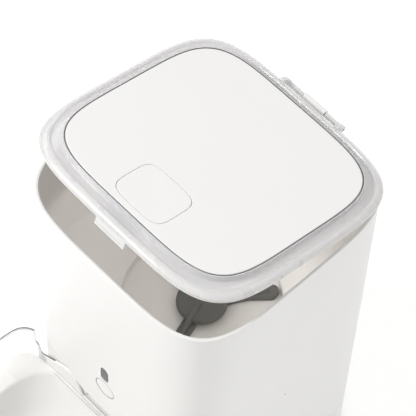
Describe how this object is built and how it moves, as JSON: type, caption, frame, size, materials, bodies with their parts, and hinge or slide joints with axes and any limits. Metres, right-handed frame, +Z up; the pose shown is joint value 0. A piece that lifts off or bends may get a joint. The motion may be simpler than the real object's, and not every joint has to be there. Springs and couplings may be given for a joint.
{
  "type": "pet feeder",
  "caption": "Automatic pet feeder: a rounded square tower with a clear latching flip lid, a stirrer and dosing rotor inside, and a bowl in a clear tray in front",
  "frame": {"origin": "centre of the outline on the floor, under the feet", "axes": "+Z up, -Y towards the bowl and the feed button, +X to the right of someone who faces the front"},
  "size_m": [0.182, 0.3158, 0.3625],
  "materials": {
    "housing": "white ABS, fine satin",
    "hopper": "beige-grey ABS, satin",
    "clear": "clear moulded plastic, polished",
    "silicone": "milky silicone, soft",
    "stirrer": "dark grey plastic, matt",
    "rubber": "black rubber, matt",
    "steel": "plain steel",
    "board": "green circuit board",
    "mechanism": "grey plastic, satin",
    "smoked": "smoked plastic, polished",
    "pack": "white fleece bag",
    "bowl": "white plastic, glossy"
  },
  "bodies": {
    "base": {"tower_housing": "housing", "base_pan": "housing", "base_cover": "housing", "base_screw_1": "steel", "base_screw_2": "steel", "base_screw_3": "steel", "base_screw_4": "steel", "foot_1": "rubber", "foot_2": "rubber", "foot_3": "rubber", "foot_4": "rubber", "hopper_funnel": "hopper", "dosing_cup": "mechanism", "gearbox_case": "mechanism", "motor_can": "steel", "outlet_chute": "hopper", "control_board": "board", "power_inlet": "mechanism", "feed_switch": "board", "indicator_lens": "smoked"},
    "rotor": {"dosing_rotor": "silicone", "stirrer": "stirrer", "rotor_shaft": "steel"},
    "feed_button": {"feed_button": "housing"},
    "lid": {"lid_frame": "clear", "lid_gasket": "silicone", "lid_plate": "housing", "hinge_pin": "steel", "latch_bracket": "housing", "latch_spring": "steel", "desiccant_box": "housing", "desiccant_pack": "pack"},
    "lid_button": {"lid_button": "housing"},
    "latch": {"latch_slider": "clear"},
    "desiccant_door": {"desiccant_door": "housing"},
    "guard": {"bowl_guard": "clear"},
    "bowl": {"food_bowl": "bowl"}
  },
  "joints": [
    {"name": "lid_hinge", "type": "hinge", "parent": "base", "child": "lid", "pos_m": [0, 0.1551, 0.3101], "axis": [-1, 0, 0], "range_deg": [-14, 81]},
    {"name": "lid_button_press", "type": "slide", "parent": "lid", "child": "lid_button", "axis": [0, -0.2419, -0.9703], "range_m": [0, 0.0016], "stiffness_N_per_m": 400, "springref_m": -0.0008},
    {"name": "latch_slide", "type": "slide", "parent": "lid", "child": "latch", "axis": [0, 0.9703, -0.2419], "range_m": [0, 0.0016]},
    {"name": "desiccant_door_hinge", "type": "hinge", "parent": "lid", "child": "desiccant_door", "pos_m": [0, 0.09849, 0.31494], "axis": [1, 0, 0], "range_deg": [0, 80]},
    {"name": "feed_button_press", "type": "slide", "parent": "base", "child": "feed_button", "axis": [0, 1, 0], "range_m": [0, 0.0008], "stiffness_N_per_m": 400, "springref_m": -0.0004},
    {"name": "rotor_spin", "type": "hinge", "parent": "base", "child": "rotor", "pos_m": [0, 0.0586, 0.14], "axis": [0, 0, 1], "continuous": true},
    {"name": "guard_slide", "type": "slide", "parent": "base", "child": "guard", "axis": [0, -1, 0], "range_m": [0, 0.09]},
    {"name": "bowl_lift", "type": "slide", "parent": "guard", "child": "bowl", "axis": [0, 0, 1], "range_m": [0, 0.025]}
  ],
  "couplings": [
    {"joint": "latch_slide", "follows": "lid_button_press", "ratio": 1}
  ]
}
